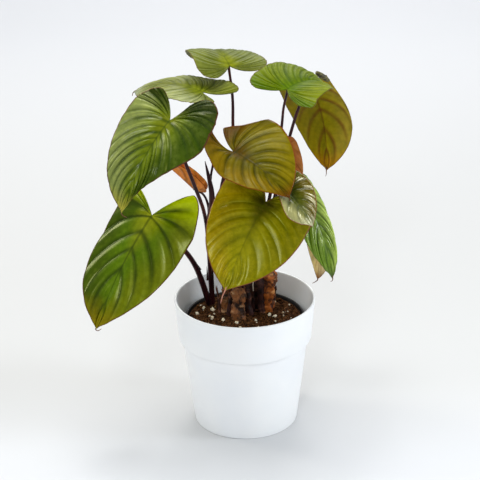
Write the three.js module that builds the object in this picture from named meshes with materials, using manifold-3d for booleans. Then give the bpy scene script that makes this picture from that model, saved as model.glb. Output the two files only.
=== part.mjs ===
// Potted homalomena: a white cover pot, a black nursery pot with soil, four woody stumps,
// and thirteen quilted heart-shaped leaves on dark petioles.
// Millimetres, +Z up. The origin is the centre of the pot's underside, on the floor.
// Seen from the front (-Y), +X is to the right and +Y is away.
import * as THREE from 'three';
import { mergeVertices } from 'three/addons/utils/BufferGeometryUtils.js';
import Module from 'manifold-3d';

const wasm = await Module();
wasm.setup();

// Clearance between pieces that touch
const GAP = 0.3;

// Cover pot
const POT_HEIGHT = 142;
const POT_RIM_RADIUS = 75;
const COLLAR_HEIGHT = 45;
const COLLAR_FOOT_RADIUS = 70.8;
const BODY_TOP_RADIUS = 67.2;
const BODY_FOOT_RADIUS = 55.5;
const POT_WALL = 2.5;
const POT_FLOOR = 4;
const POT_EDGE = 1.25;
const POT_SEGMENTS = 64;

// Nursery pot
const GROW_RIM_RADIUS = 63.8;
const GROW_RIM_TOP = 120;
const GROW_RIM_HEIGHT = 6;
const GROW_RIM_WALL = 1.8;
const GROW_WALL = 1.2;
const GROW_FOOT_RADIUS = 48;
const GROW_FLOOR = 1.6;
const GROW_SEGMENTS = 48;
const DRAIN_COUNT = 5;
const DRAIN_RADIUS = 4;
const DRAIN_CIRCLE = 30;

// Soil
const SOIL_TOP = 117.5;
const SOIL_CROWN = 1.5;
const STEM_DEPTH = 22;

// Blades
const BLADE_THICKNESS = 0.9;
const STATIONS = 60;
// Where along the margin the veins stop leaving from the junction and start leaving the midrib
const FAN = 0.46;
const VEIN_FORWARD = 1.3;
// Veins arch back by this angle from here on, and straighten over the last run to the tip
const VEIN_ARCH = 25;
const ARCH_FULL = 0.5;
const TIP_RUN = 0.15;
const VEIN_PULL = 0.55;
// The ripples reach full depth this far out from the midrib
const RIPPLE_RISE = 14;
// The petiole meets the blade this far along the midrib
const JUNCTION_INSET = 2;

// Half outline, from the sinus round the lobe to the tip: across in half widths,
// along in lobe lengths behind the junction and blade lengths ahead of it
const MARGIN = [
  [0, 0], [0.17, -0.30], [0.36, -0.72], [0.61, -1.0], [0.85, -0.80], [0.985, -0.28], [1.0, 0.12],
  [0.96, 0.32], [0.85, 0.51], [0.67, 0.68], [0.43, 0.82], [0.20, 0.915], [0.06, 0.965],
  [0.015, 0.985], [0, 1],
];

const COLOURS = {
  pot: 0xf1f1ef,
  growPot: 0x151515,
  soil: 0x3a2a20,
  bark: 0x6b4a33,
  barkRight: 0x8a5a33,
  barkDark: 0x2c1c22,
  petiole: 0x34191f,
};

// Each leaf: joint is where the petiole meets the blade; yaw is the compass direction of the
// midrib and pitch its slope there; roll turns the blade about it; droop is how far the slope
// falls by the tip, and back how far by the lobes' end. Widths are the half widths; slim narrows
// a half towards the tip, and lean towards the lobe's end. Folds are the slopes of a half across
// the midrib at the lobe's end, a quarter of the way along and the tip; curl is the further slope
// gained out to the margin; quilt is the depth of the ripples, one to a vein. Pairs hold the
// right half first. Angles are degrees.
const LEAVES = {
  top: {
    joint: [-13, 40, 386], yaw: 114, pitch: 34, droop: 96, roll: 0, back: -21,
    length: 80, widths: [40, 38], lobes: [22, 19], slim: [0, 0], lean: [0, 0],
    folds: [[20, -3, -12], [14, 18, -6]], curls: [-10, -15], quilt: 0.8, veins: 10, colour: 0x8c963c,
  },
  upper_right: {
    joint: [45, -4, 374], yaw: 52, pitch: 12, droop: 45, roll: 10, back: -5,
    length: 71, widths: [37, 38], lobes: [21, 27], slim: [0, -0.15], lean: [-0.4, 0],
    folds: [[10, 12, 0], [22, 18, 20]], curls: [-10, -15], quilt: 0.8, veins: 10, colour: 0x7f9a3a,
  },
  far_right: {
    joint: [72, 82, 350], yaw: 55, pitch: -50, droop: 45, roll: -25, back: 0,
    length: 118, widths: [20.5, 41], lobes: [6, 18], slim: [-1.45, 0], lean: [0.5, 0],
    folds: [[20, 10, 10], [10, 10, 10]], curls: [10, 10], quilt: 0.8, veins: 10, colour: 0x7c7434,
  },
  upper_left: {
    joint: [-41, 10, 368], yaw: 153, pitch: 17, droop: 50, roll: 1, back: -12,
    length: 84, widths: [37, 39], lobes: [33, 26], slim: [0.05, -0.15], lean: [0.2, 0],
    folds: [[26, 3, 5], [14, 2, -20]], curls: [-10, -10], quilt: 0.8, veins: 10, colour: 0x7d8f3c,
  },
  centre: {
    joint: [-9, -42, 322], yaw: -41, pitch: -8, droop: 31, roll: 16, back: -17,
    length: 79, widths: [39, 54], lobes: [31, 31], slim: [0, 0.2], lean: [-0.5, 0.5],
    folds: [[72, 9, 14], [10, 14, 8]], curls: [-10, -10], quilt: 0.9, veins: 10, colour: 0x9a8a26,
  },
  left: {
    joint: [-72, -50, 359], yaw: -136, pitch: -34, droop: 32, roll: -23, back: -28,
    length: 105, widths: [42, 57], lobes: [28, 32], slim: [0, 0.8], lean: [0.1, -0.4],
    folds: [[22, 16, 15], [48, 20, 0]], curls: [-20, -20], quilt: 1.0, veins: 10, colour: 0x6f8f2c,
  },
  front: {
    joint: [22, -52, 272], yaw: -128, pitch: -38, droop: 18, roll: -31, back: 0,
    length: 101, widths: [48, 52], lobes: [33, 34], slim: [0, 0], lean: [0, 0],
    folds: [[5, 5, 5], [5, 5, 5]], curls: [-20, -20], quilt: 0.9, veins: 10, colour: 0x8f8c22,
  },
  folded: {
    joint: [44, -61, 286], yaw: -64, pitch: -9, droop: 19, roll: 4, back: 0,
    length: 56, widths: [21, 24], lobes: [14, 28], slim: [-0.4, 0.3], lean: [0, -0.1],
    folds: [[32, 35, -10], [32, 26, 16]], curls: [-10, -20], quilt: 0.7, veins: 8, colour: 0x8b8a3a,
  },
  right: {
    joint: [62, 0, 257], yaw: -46, pitch: -45, droop: 35, roll: 10, back: 0,
    length: 94, widths: [25, 17], lobes: [20, 26], slim: [0, 0], lean: [0, 0],
    folds: [[10, 10, 10], [10, 10, 10]], curls: [-20, -20], quilt: 1.0, veins: 8, colour: 0x6f9a30,
  },
  withered: {
    joint: [86, 18, 216], yaw: -115, pitch: -51, droop: 38, roll: 0, back: 0,
    length: 60, widths: [20, 9], lobes: [8, 3], slim: [0.6, -1.6], lean: [0, 0.6],
    folds: [[20, 20, 20], [20, 20, 20]], curls: [0, 0], quilt: 0.5, veins: 6, colour: 0xa8843c,
  },
  lower_left: {
    joint: [-93, -50, 258], yaw: -139, pitch: -43, droop: 21, roll: -34, back: 4,
    length: 129, widths: [40, 50], lobes: [24, 40], slim: [-0.25, -0.05], lean: [-1.1, 0.15],
    folds: [[-4, -19, 8], [13, 4, 25]], curls: [-10, -8], quilt: 1.0, veins: 10, colour: 0x6f8a2a,
  },
  young_left: {
    joint: [-50, 10, 261], yaw: 175, pitch: 48, droop: 10, roll: 0, back: 0,
    length: 50, widths: [15, 15], lobes: [8, 8], slim: [0, 0], lean: [0, 0],
    folds: [[60, 60, 60], [60, 60, 60]], curls: [0, 0], quilt: 0.4, veins: 6, colour: 0x9a5a2c,
  },
  young_right: {
    joint: [44, 12, 306], yaw: -62, pitch: -45, droop: 20, roll: 0, back: 0,
    length: 46, widths: [13, 13], lobes: [10, 10], slim: [0, 0], lean: [0, 0],
    folds: [[20, 20, 20], [20, 20, 20]], curls: [0, 0], quilt: 0.4, veins: 6, colour: 0x9a5a34,
  },
};

// Woody stumps: foot on the soil, top, radii there
const STUMPS = {
  left: { foot: [-20, 13], top: [-19, 12, 152], radii: [5, 4.6], colour: COLOURS.bark },
  middle: { foot: [-7, -5], top: [-6, -2, 158], radii: [7.6, 7], colour: COLOURS.bark },
  back: { foot: [8, 24], top: [7.5, 24, 154], radii: [8.6, 9], colour: COLOURS.barkDark },
  right: { foot: [24.5, 14], top: [26, 6, 170], radii: [5.6, 8.6], colour: COLOURS.barkRight },
};

// Groups of petioles that spring from one place and hold together. Each petiole runs through
// its points to the leaf named, and its radii are those at its foot and under the blade.
const STEM_GROUPS = {
  left: {
    petioles: [
      { leaf: 'left', radii: [2.3, 1.7], points: [[-36, 34, 96], [-36, 34, 120], [-37, 28, 158],
        [-38, 12, 203], [-41, -8, 243], [-49, -26, 278], [-57, -36, 306]] },
      { leaf: 'lower_left', radii: [3.6, 2.0], points: [[-37, 34, 96], [-38, 34, 114], [-42, 28, 134],
        [-51, 10, 172], [-62, -10, 201]] },
      { leaf: 'upper_left', radii: [1.7, 1.0], points: [[-34, 35, 96], [-34, 35, 120], [-35, 26, 180],
        [-35, 12, 240], [-33.5, 8, 277], [-31, 6, 293], [-33, 8, 335]] },
      { leaf: 'young_left', radii: [1.6, 1.0], points: [[-37, 13, 222], [-37, 12, 242], [-42, 10, 256]] },
    ],
  },
  centre: {
    stump: 'left',
    petioles: [
      { leaf: 'centre', radii: [3.0, 1.7], points: [[-23, 8, 200], [-24, 2, 250], [-20, -8, 281]] },
    ],
  },
  front: {
    stump: 'middle',
    petioles: [
      { leaf: 'front', radii: [3.2, 1.8], points: [[2, -10, 200], [12, -28, 242]] },
    ],
  },
  back: {
    stump: 'back',
    petioles: [
      { leaf: 'top', radii: [2.6, 1.3], points: [[2, 32, 190], [-6, 38, 250], [-9, 41, 292],
        [-10, 42, 319], [-10, 41, 351]] },
      { leaf: 'upper_right', radii: [2.4, 1.2], points: [[18, 25, 200], [32, 23, 270], [40, 18, 325],
        [42, 8, 351]] },
      { leaf: 'far_right', radii: [2.6, 1.4], points: [[22, 30, 190], [38, 38, 260], [49, 48, 303],
        [60, 62, 333]] },
      { leaf: 'young_right', radii: [1.8, 1.0], points: [[18, 18, 190], [32, 14, 250], [40, 13, 280]] },
    ],
  },
  right: {
    stump: 'right',
    petioles: [
      { leaf: 'folded', radii: [2.4, 1.3], points: [[33, -3, 215], [34, -20, 252], [39, -38, 279]] },
      { leaf: 'right', radii: [2.4, 1.4], points: [[44, 4, 210], [56, 4, 240]] },
      { leaf: 'withered', radii: [2.0, 1.1], points: [[46, 14, 190], [68, 22, 206]] },
    ],
  },
};
const PETIOLE_SIDES = 7;
const PETIOLE_STEP = 22;
const STUMP_SIDES = 12;
const STUMP_STEP = 9;
// What is cut off level where a stump and its petioles meet
const STUMP_CUT = 4;

// The unopened new leaf, rolled to a point
const SPIKE = {
  points: [[-37, 13, 222], [-33, 6, 246], [-33, 2, 262], [-35, 0, 276], [-39, -3, 298]],
  radii: [2.6, 0.3],
};
// Hole in the soil where the left group stands
const BUNCH = { centre: [-36.5, 34.3], radius: 6.5, bottom: 96 };

const radians = THREE.MathUtils.degToRad;

function smooth(t) {
  const u = Math.min(Math.max(t, 0), 1);
  return u * u * (3 - 2 * u);
}

// Catmull-Rom through a list of points, with the ends reflected
function throughPoints(points, t) {
  const last = points.length - 1;
  const f = Math.min(Math.max(t, 0), 1) * last;
  const i = Math.min(Math.floor(f), last - 1);
  const w = f - i;
  const p1 = points[i];
  const p2 = points[i + 1];
  const before = i > 0 ? points[i - 1] : p1.map((v, k) => 2 * v - p2[k]);
  const after = i + 2 <= last ? points[i + 2] : p2.map((v, k) => 2 * v - p1[k]);
  return p1.map((v, k) => 0.5 * (2 * v + (p2[k] - before[k]) * w
    + (2 * before[k] - 5 * v + 4 * p2[k] - after[k]) * w ** 2
    + (3 * v - before[k] - 3 * p2[k] + after[k]) * w ** 3));
}

// Point of the flat half blade: a runs along the margin from sinus to tip, b from midrib to margin
function flatPoint(leaf, a, b, side) {
  const [across, along] = throughPoints(MARGIN, a);
  const ahead = Math.min(Math.max(along, 0), 1);
  const behind = Math.max(-along, 0);
  const narrowing = (1 - leaf.slim[side] * smooth(ahead)) * (1 - leaf.lean[side] * behind);
  const ex = across * leaf.widths[side] * narrowing;
  const ey = along < 0 ? along * leaf.lobes[side] : along * leaf.length;
  const my = leaf.length * Math.max(0, (a - FAN) / (1 - FAN)) ** VEIN_FORWARD;
  const straight = smooth((a - 1 + TIP_RUN) / TIP_RUN);
  const turn = radians(VEIN_ARCH) * smooth(a / ARCH_FULL) * (1 - straight);
  const dx = ex;
  const dy = ey - my;
  const cx = VEIN_PULL * (dx * Math.cos(turn) + dy * Math.sin(turn));
  const cy = my + VEIN_PULL * (dy * Math.cos(turn) - dx * Math.sin(turn));
  const u = 1 - b;
  return {
    x: 2 * u * b * cx + b * b * ex,
    y: u * u * my + 2 * u * b * cy + b * b * ey,
    reach: b * Math.hypot(dx, dy),
  };
}

// The bent midrib: places and frames at even stations from behind the lobes to the tip
function midrib(leaf) {
  const behind = Math.max(...leaf.lobes) * 1.05;
  const step = (leaf.length + behind) / (STATIONS - 1);
  const frames = [];
  for (let i = 0; i < STATIONS; i++) {
    const y = i * step - behind;
    const slope = y >= 0 ? leaf.pitch - leaf.droop * y / leaf.length : leaf.pitch - leaf.back * y / behind;
    frames.push(new THREE.Matrix4().makeRotationZ(radians(leaf.yaw - 90))
      .multiply(new THREE.Matrix4().makeRotationX(radians(slope)))
      .multiply(new THREE.Matrix4().makeRotationY(radians(leaf.roll))));
  }
  const axis = (i, column) => new THREE.Vector3().setFromMatrixColumn(frames[i], column);
  const places = [new THREE.Vector3()];
  for (let i = 1; i < STATIONS; i++) {
    const mean = axis(i, 1).add(axis(i - 1, 1)).multiplyScalar(step / 2);
    places.push(places[i - 1].clone().add(mean));
  }
  const at = (y) => {
    const f = Math.min(Math.max((y + behind) / step, 0), STATIONS - 1.000001);
    const i = Math.floor(f);
    return {
      place: places[i].clone().lerp(places[i + 1], f - i),
      across: axis(i, 0).lerp(axis(i + 1, 0), f - i),
      along: axis(i, 1).lerp(axis(i + 1, 1), f - i),
      up: axis(i, 2).lerp(axis(i + 1, 2), f - i),
    };
  };
  const shift = new THREE.Vector3(...leaf.joint).sub(at(0).place);
  places.forEach((place) => place.add(shift));
  return at;
}

function foldAt(leaf, side, y) {
  const [lobe, quarter, tip] = leaf.folds[side];
  const turn = leaf.length / 4;
  if (y < turn) {
    return lobe + (quarter - lobe) * smooth((y + leaf.lobes[side]) / (turn + leaf.lobes[side]));
  }
  return quarter + (tip - quarter) * smooth((y - turn) / (leaf.length - turn));
}

// Point of the bent, quilted blade
function bladePoint(leaf, at, a, b, side) {
  const { x, y, reach } = flatPoint(leaf, a, b, side);
  const station = at(y);
  const fold = radians(foldAt(leaf, side, y));
  const curl = radians(leaf.curls[side]) / leaf.widths[side];
  const end = fold + curl * x;
  const out = Math.abs(curl) < 1e-9 ? x * Math.cos(fold) : (Math.sin(end) - Math.sin(fold)) / curl;
  const rise = Math.abs(curl) < 1e-9 ? x * Math.sin(fold) : (Math.cos(fold) - Math.cos(end)) / curl;
  const ripple = -leaf.quilt * Math.cos(2 * Math.PI * a * leaf.veins) * smooth(reach / RIPPLE_RISE);
  const sign = side === 0 ? 1 : -1;
  return station.place
    .addScaledVector(station.across, sign * (out - ripple * Math.sin(end)))
    .addScaledVector(station.up, rise + ripple * Math.cos(end));
}

// Both halves as one open sheet of triangles that share their vertices
function bladeSheet(leaf) {
  const at = midrib(leaf);
  const rows = 2 * leaf.veins;
  const columns = leaf.veins > 6 ? 4 : 3;
  const positions = [];
  const indices = [];
  for (const side of [0, 1]) {
    const first = positions.length / 3;
    for (let i = 0; i <= rows; i++) {
      for (let j = 0; j <= columns; j++) {
        positions.push(...bladePoint(leaf, at, i / rows, j / columns, side));
      }
    }
    for (let i = 0; i < rows; i++) {
      for (let j = 0; j < columns; j++) {
        const p = first + i * (columns + 1) + j;
        const q = p + columns + 1;
        const quad = [[p, p + 1, q + 1], [p, q + 1, q]];
        for (const [u, v, w] of quad) indices.push(...(side === 0 ? [u, v, w] : [u, w, v]));
      }
    }
  }
  const sheet = new THREE.BufferGeometry();
  sheet.setAttribute('position', new THREE.Float32BufferAttribute(positions, 3));
  sheet.setIndex(indices);
  return mergeVertices(sheet, 1e-3);
}

// Closed solid of even thickness round a sheet
function thicken(sheet, thickness) {
  const source = sheet.index.array;
  const triangles = [];
  for (let i = 0; i < source.length; i += 3) {
    const [a, b, c] = source.slice(i, i + 3);
    if (a !== b && b !== c && c !== a) triangles.push([a, b, c]);
  }
  sheet.setIndex(triangles.flat());
  sheet.computeVertexNormals();
  const place = sheet.attributes.position;
  const normal = sheet.attributes.normal;
  const count = place.count;
  const vertices = [];
  for (const offset of [thickness / 2, -thickness / 2]) {
    for (let i = 0; i < count; i++) {
      const point = new THREE.Vector3().fromBufferAttribute(place, i);
      point.addScaledVector(new THREE.Vector3().fromBufferAttribute(normal, i), offset);
      vertices.push(...point);
    }
  }
  const faces = [];
  const open = new Map();
  for (const [a, b, c] of triangles) {
    faces.push(a, b, c, a + count, c + count, b + count);
    for (const [u, v] of [[a, b], [b, c], [c, a]]) {
      if (!open.delete(`${v},${u}`)) open.set(`${u},${v}`, [u, v]);
    }
  }
  for (const [u, v] of open.values()) {
    faces.push(v, u, u + count, v, u + count, v + count);
  }
  const solid = new THREE.BufferGeometry();
  solid.setAttribute('position', new THREE.Float32BufferAttribute(vertices, 3));
  solid.setIndex(faces);
  return solid;
}

// Round tube along a smooth path, its radius changing evenly from foot to end
function taperedTube(points, radii, sides, step) {
  const path = new THREE.CatmullRomCurve3(points.map((p) => new THREE.Vector3(...p)), false, 'centripetal');
  const rings = Math.max(2, Math.round(path.getLength() / step));
  const frames = path.computeFrenetFrames(rings, false);
  const vertices = [];
  const faces = [];
  for (let i = 0; i <= rings; i++) {
    const centre = path.getPointAt(i / rings);
    const radius = radii[0] + (radii[1] - radii[0]) * i / rings;
    for (let k = 0; k < sides; k++) {
      const turn = 2 * Math.PI * k / sides;
      const point = centre.clone()
        .addScaledVector(frames.normals[i], radius * Math.cos(turn))
        .addScaledVector(frames.binormals[i], radius * Math.sin(turn));
      vertices.push(...point);
      if (i === rings) continue;
      const p = i * sides + k;
      const q = i * sides + (k + 1) % sides;
      faces.push(p, q, q + sides, p, q + sides, p + sides);
    }
  }
  const lastRing = rings * sides;
  for (let k = 1; k < sides - 1; k++) {
    faces.push(0, k + 1, k, lastRing, lastRing + k, lastRing + k + 1);
  }
  const tube = new THREE.BufferGeometry();
  tube.setAttribute('position', new THREE.Float32BufferAttribute(vertices, 3));
  tube.setIndex(faces);
  return tube;
}

function toSolid(geometry) {
  const bare = geometry.clone();
  bare.deleteAttribute('normal');
  bare.deleteAttribute('uv');
  const merged = mergeVertices(bare, 1e-4);
  const mesh = new wasm.Mesh({
    numProp: 3,
    vertProperties: new Float32Array(merged.attributes.position.array),
    triVerts: new Uint32Array(merged.index.array),
  });
  return new wasm.Manifold(mesh);
}

function toGeometry(solid) {
  const mesh = solid.getMesh();
  const geometry = new THREE.BufferGeometry();
  geometry.setAttribute('position', new THREE.Float32BufferAttribute(mesh.vertProperties, 3));
  geometry.setIndex([...mesh.triVerts]);
  return geometry;
}

function node(name, geometry, colour, roughness) {
  const material = new THREE.MeshStandardMaterial({ color: colour, roughness, metalness: 0 });
  const mesh = new THREE.Mesh(geometry, material);
  mesh.name = name;
  return mesh;
}

// Solid of revolution about Z from radius and height pairs
function turned(profile, segments) {
  const points = profile.map(([radius, height]) => new THREE.Vector2(radius, height));
  return new THREE.LatheGeometry(points, segments).rotateX(Math.PI / 2);
}

function cylinder(radius, bottom, top, x, y, sides) {
  const shape = new THREE.CylinderGeometry(radius, radius, top - bottom, sides);
  return shape.rotateX(Math.PI / 2).translate(x, y, (top + bottom) / 2);
}

function outerPot() {
  const collarFoot = POT_HEIGHT - COLLAR_HEIGHT;
  const profile = [
    [0, 0], [BODY_FOOT_RADIUS - 2, 0], [BODY_FOOT_RADIUS - 0.5, 0.6], [BODY_FOOT_RADIUS, 2],
    [BODY_TOP_RADIUS, collarFoot + 0.5],
    [COLLAR_FOOT_RADIUS - POT_EDGE, collarFoot], [COLLAR_FOOT_RADIUS, collarFoot + POT_EDGE],
    [POT_RIM_RADIUS, POT_HEIGHT - POT_EDGE], [POT_RIM_RADIUS - POT_WALL / 4, POT_HEIGHT - 0.3],
    [POT_RIM_RADIUS - POT_WALL / 2, POT_HEIGHT],
    [POT_RIM_RADIUS - POT_WALL, POT_HEIGHT - POT_EDGE],
    [COLLAR_FOOT_RADIUS - POT_WALL, collarFoot + 6], [BODY_TOP_RADIUS - POT_WALL, collarFoot],
    [BODY_FOOT_RADIUS - POT_WALL + 0.5, POT_FLOOR], [0, POT_FLOOR],
  ];
  return node('outer_pot', turned(profile, POT_SEGMENTS), COLOURS.pot, 0.55);
}

function growProfile() {
  const foot = POT_FLOOR + GAP;
  const rimFoot = GROW_RIM_TOP - GROW_RIM_HEIGHT;
  const bodyTop = GROW_RIM_RADIUS - GROW_RIM_WALL;
  return { foot, rimFoot, bodyTop };
}

function growPot() {
  const { foot, rimFoot, bodyTop } = growProfile();
  const profile = [
    [0, foot], [GROW_FOOT_RADIUS, foot], [bodyTop, rimFoot], [GROW_RIM_RADIUS, rimFoot],
    [GROW_RIM_RADIUS, GROW_RIM_TOP - 0.5], [GROW_RIM_RADIUS - 0.6, GROW_RIM_TOP],
    [GROW_RIM_RADIUS - GROW_RIM_WALL, GROW_RIM_TOP], [bodyTop - GROW_WALL, rimFoot],
    [GROW_FOOT_RADIUS - GROW_WALL, foot + GROW_FLOOR], [0, foot + GROW_FLOOR],
  ];
  let solid = toSolid(turned(profile, GROW_SEGMENTS));
  for (let i = 0; i < DRAIN_COUNT; i++) {
    const turn = 2 * Math.PI * i / DRAIN_COUNT;
    const x = DRAIN_CIRCLE * Math.cos(turn);
    const y = DRAIN_CIRCLE * Math.sin(turn);
    solid = solid.subtract(toSolid(cylinder(DRAIN_RADIUS, foot - 1, foot + GROW_FLOOR + 1, x, y, 10)));
  }
  return node('grow_pot', toGeometry(solid), COLOURS.growPot, 0.5);
}

// Soil fills the nursery pot, a little higher in the middle, with a plain hole for each stem
function soil() {
  const { foot, rimFoot, bodyTop } = growProfile();
  const bottom = foot + GROW_FLOOR + GAP;
  const inner = GROW_WALL + GAP;
  const edge = bodyTop - inner;
  const profile = [
    [0, bottom], [GROW_FOOT_RADIUS - inner - 0.2, bottom], [edge, rimFoot],
    [edge + 0.6, SOIL_TOP], [edge * 0.85, SOIL_TOP + SOIL_CROWN / 2],
    [edge * 0.4, SOIL_TOP + SOIL_CROWN], [0, SOIL_TOP + SOIL_CROWN],
  ];
  let solid = toSolid(turned(profile, GROW_SEGMENTS));
  for (const { foot: [x, y], top, radii: [atFoot, atTop] } of Object.values(STUMPS)) {
    const buried = (STEM_DEPTH + SOIL_CROWN) / (top[2] - SOIL_TOP + STEM_DEPTH);
    const widest = Math.max(atFoot, atFoot + (atTop - atFoot) * buried);
    const hole = cylinder(widest + 2 * GAP, SOIL_TOP - STEM_DEPTH - GAP, SOIL_TOP + 10, x, y, 16);
    solid = solid.subtract(toSolid(hole));
  }
  const bunch = cylinder(BUNCH.radius, BUNCH.bottom - GAP, SOIL_TOP + 10, ...BUNCH.centre, 16);
  solid = solid.subtract(toSolid(bunch));
  return node('soil', toGeometry(solid), COLOURS.soil, 0.95);
}

// The part of a solid above or below a level
function cutAt(solid, level, keepAbove) {
  const size = 2 * POT_HEIGHT;
  const block = new THREE.BoxGeometry(size, size, size);
  block.translate(0, 0, level + (keepAbove ? -size / 2 : size / 2));
  return solid.subtract(toSolid(block));
}

// A stump ends in a level top, which carries its petioles
function stump(name, { foot: [x, y], top, radii, colour }) {
  const above = top.map((v, k) => v + (k === 2 ? STUMP_CUT : 0));
  const points = [[x, y, SOIL_TOP - STEM_DEPTH], [x, y, SOIL_TOP + 4], above];
  const solid = cutAt(toSolid(taperedTube(points, radii, STUMP_SIDES, STUMP_STEP)), top[2], false);
  return node(`stump_${name}`, toGeometry(solid), colour, 0.85);
}

// End of a petiole, just clear of the blade's underside at the junction
function petioleEnd(leaf, before, radius) {
  const { place, up } = midrib(leaf)(JUNCTION_INSET);
  const direction = place.clone().sub(new THREE.Vector3(...before)).normalize();
  const lean = new THREE.Vector3().crossVectors(direction, up).length();
  return place.addScaledVector(up, -(BLADE_THICKNESS / 2 + GAP + 0.2 + radius * lean)).toArray();
}

function stemGroup(name, { stump: base, petioles }) {
  let solid = null;
  const join = (points, radii) => {
    const tube = toSolid(taperedTube(points, radii, PETIOLE_SIDES, PETIOLE_STEP));
    solid = solid ? solid.add(tube) : tube;
  };
  for (const { leaf, radii, points } of petioles) {
    const start = base ? [STUMPS[base].top.map((v, k) => v - (k === 2 ? STUMP_CUT : 0))] : [];
    const end = petioleEnd(LEAVES[leaf], points.at(-1), radii[1]);
    join([...start, ...points, end], radii);
  }
  if (name === 'left') join(SPIKE.points, SPIKE.radii);
  if (base) solid = cutAt(solid, STUMPS[base].top[2] + GAP, true);
  return node(`stems_${name}`, toGeometry(solid), COLOURS.petiole, 0.5);
}

function blade(name, leaf) {
  return node(`blade_${name}`, thicken(bladeSheet(leaf), BLADE_THICKNESS), leaf.colour, 0.4);
}

const plant = new THREE.Group();
plant.name = 'potted_homalomena';
plant.add(outerPot(), growPot(), soil());
for (const [name, shape] of Object.entries(STUMPS)) plant.add(stump(name, shape));
for (const [name, group] of Object.entries(STEM_GROUPS)) plant.add(stemGroup(name, group));
for (const [name, leaf] of Object.entries(LEAVES)) plant.add(blade(name, leaf));

export default plant;
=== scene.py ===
import math
import random

import bmesh
import bpy
import numpy as np
from mathutils import Matrix, Vector, noise


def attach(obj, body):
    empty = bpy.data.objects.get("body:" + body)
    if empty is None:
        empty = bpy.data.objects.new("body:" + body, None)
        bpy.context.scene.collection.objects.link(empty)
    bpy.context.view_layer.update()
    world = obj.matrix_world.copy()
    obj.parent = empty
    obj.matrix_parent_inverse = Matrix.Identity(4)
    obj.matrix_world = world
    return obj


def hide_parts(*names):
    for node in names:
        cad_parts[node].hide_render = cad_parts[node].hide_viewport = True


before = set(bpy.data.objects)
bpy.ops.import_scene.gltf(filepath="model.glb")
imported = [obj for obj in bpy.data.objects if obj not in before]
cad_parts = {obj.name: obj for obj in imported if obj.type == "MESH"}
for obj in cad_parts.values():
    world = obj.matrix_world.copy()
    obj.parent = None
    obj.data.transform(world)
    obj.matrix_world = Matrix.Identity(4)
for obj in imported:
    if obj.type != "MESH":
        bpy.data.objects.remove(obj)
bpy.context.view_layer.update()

# Potted homalomena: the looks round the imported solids.
# The frame is in metres, +Z up; the sizes below are in millimetres.
MM = 0.001

# Camera; its tilt is downwards
CAMERA_PLACE = (-4.2, -1600.0, 908.6)
CAMERA_TILT = 23.65
CAMERA_ROLL = -0.75
CAMERA_LENS = 125.0
SENSOR_WIDTH = 36

# Round softboxes: place, width, watts and colour
LIGHTS = {
    "overhead": ((-60, 60, 1600), 750, 10, (1, 1, 1)),
    "overhead_glint": ((-140, 160, 1600), 200, 1.7, (1, 1, 1)),
    "back_left": ((-1250, 500, 1000), 400, 4.5, (1, 0.98, 0.88)),
    "rear": ((200, 1500, 1500), 1200, 8.6, (1, 0.99, 0.96)),
    "rear_glint": ((100, 1300, 1600), 240, 1.8, (1, 1, 1)),
    "right": ((1300, -250, 750), 400, 7, (0.88, 0.94, 1)),
    "front": ((-300, -1700, 1500), 450, 9, (0.9, 0.96, 1)),
}
LIGHT_TARGET = (0, 0, 220)
WORLD_COLOUR = (0.96, 0.98, 1.0)
WORLD_STRENGTH = 0.58

# Floor and backdrop, with a bend between them
SWEEP_NEAR = -2600
SWEEP_FAR = 1500
SWEEP_BEND = 900
SWEEP_TOP = 2600
SWEEP_HALF_WIDTH = 4000

# Clearance between pieces, and the longest step along the pots' profiles
GAP = 0.3
PROFILE_STEP = 6

# Cover pot
POT_HEIGHT = 142
POT_RIM_RADIUS = 75
COLLAR_HEIGHT = 45
COLLAR_FOOT_RADIUS = 70.8
COLLAR_STEP = 0.3
COLLAR_STEP_INSIDE = 6
BODY_TOP_RADIUS = 67.2
BODY_FOOT_RADIUS = 55.5
POT_WALL = 2.5
POT_FOOT_WALL = 2
POT_FLOOR = 4
POT_EDGE = 1.3
POT_SIDES = 240

# Nursery pot
GROW_RIM_RADIUS = 63.8
GROW_RIM_TOP = 120
GROW_RIM_HEIGHT = 6
GROW_RIM_WALL = 1.8
GROW_WALL = 1.2
GROW_FOOT_RADIUS = 48
GROW_FLOOR = 1.6
GROW_EDGE = 0.5

# Soil
SOIL_TOP = 117.5
SOIL_CROWN = 1.5
SOIL_EDGE = GROW_RIM_RADIUS - GROW_RIM_WALL - GROW_WALL - GAP
SOIL_FOOT_RADIUS = GROW_FOOT_RADIUS - GROW_WALL - 0.5
STEM_DEPTH = 22
LUMP_HEIGHT = 1.1
LUMP_WIDTH = 9
SOIL_RINGS = 96
SOIL_SIDES = 260

# Crumbs: smallest radius, what the largest adds, and how rare that is
CRUMB_COUNT = 900
CRUMB_RADIUS = 0.5
CRUMB_GROWTH = 1.7
CRUMB_RARITY = 2.2

# Perlite seen in the photograph: place and radius
PERLITE = [
    (-47.5, 28, 1.3), (-44, 22.4, 1.6), (-34.7, 16.4, 2.5), (-35.2, -3.2, 2.0), (-23.4, -10.3, 1.9),
    (-8.8, -16.2, 1.6), (4.9, 13.8, 1.5), (8.2, 9.5, 1.2), (26.3, 2, 1.9), (31.7, -2.3, 2.5),
    (11.4, -10.6, 1.4), (-51.3, 9.8, 1.9), (33.2, 35.7, 1.1), (-38, 3, 1.2), (41, 8, 1.1),
]
SMALL_GRAINS = 40

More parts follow.
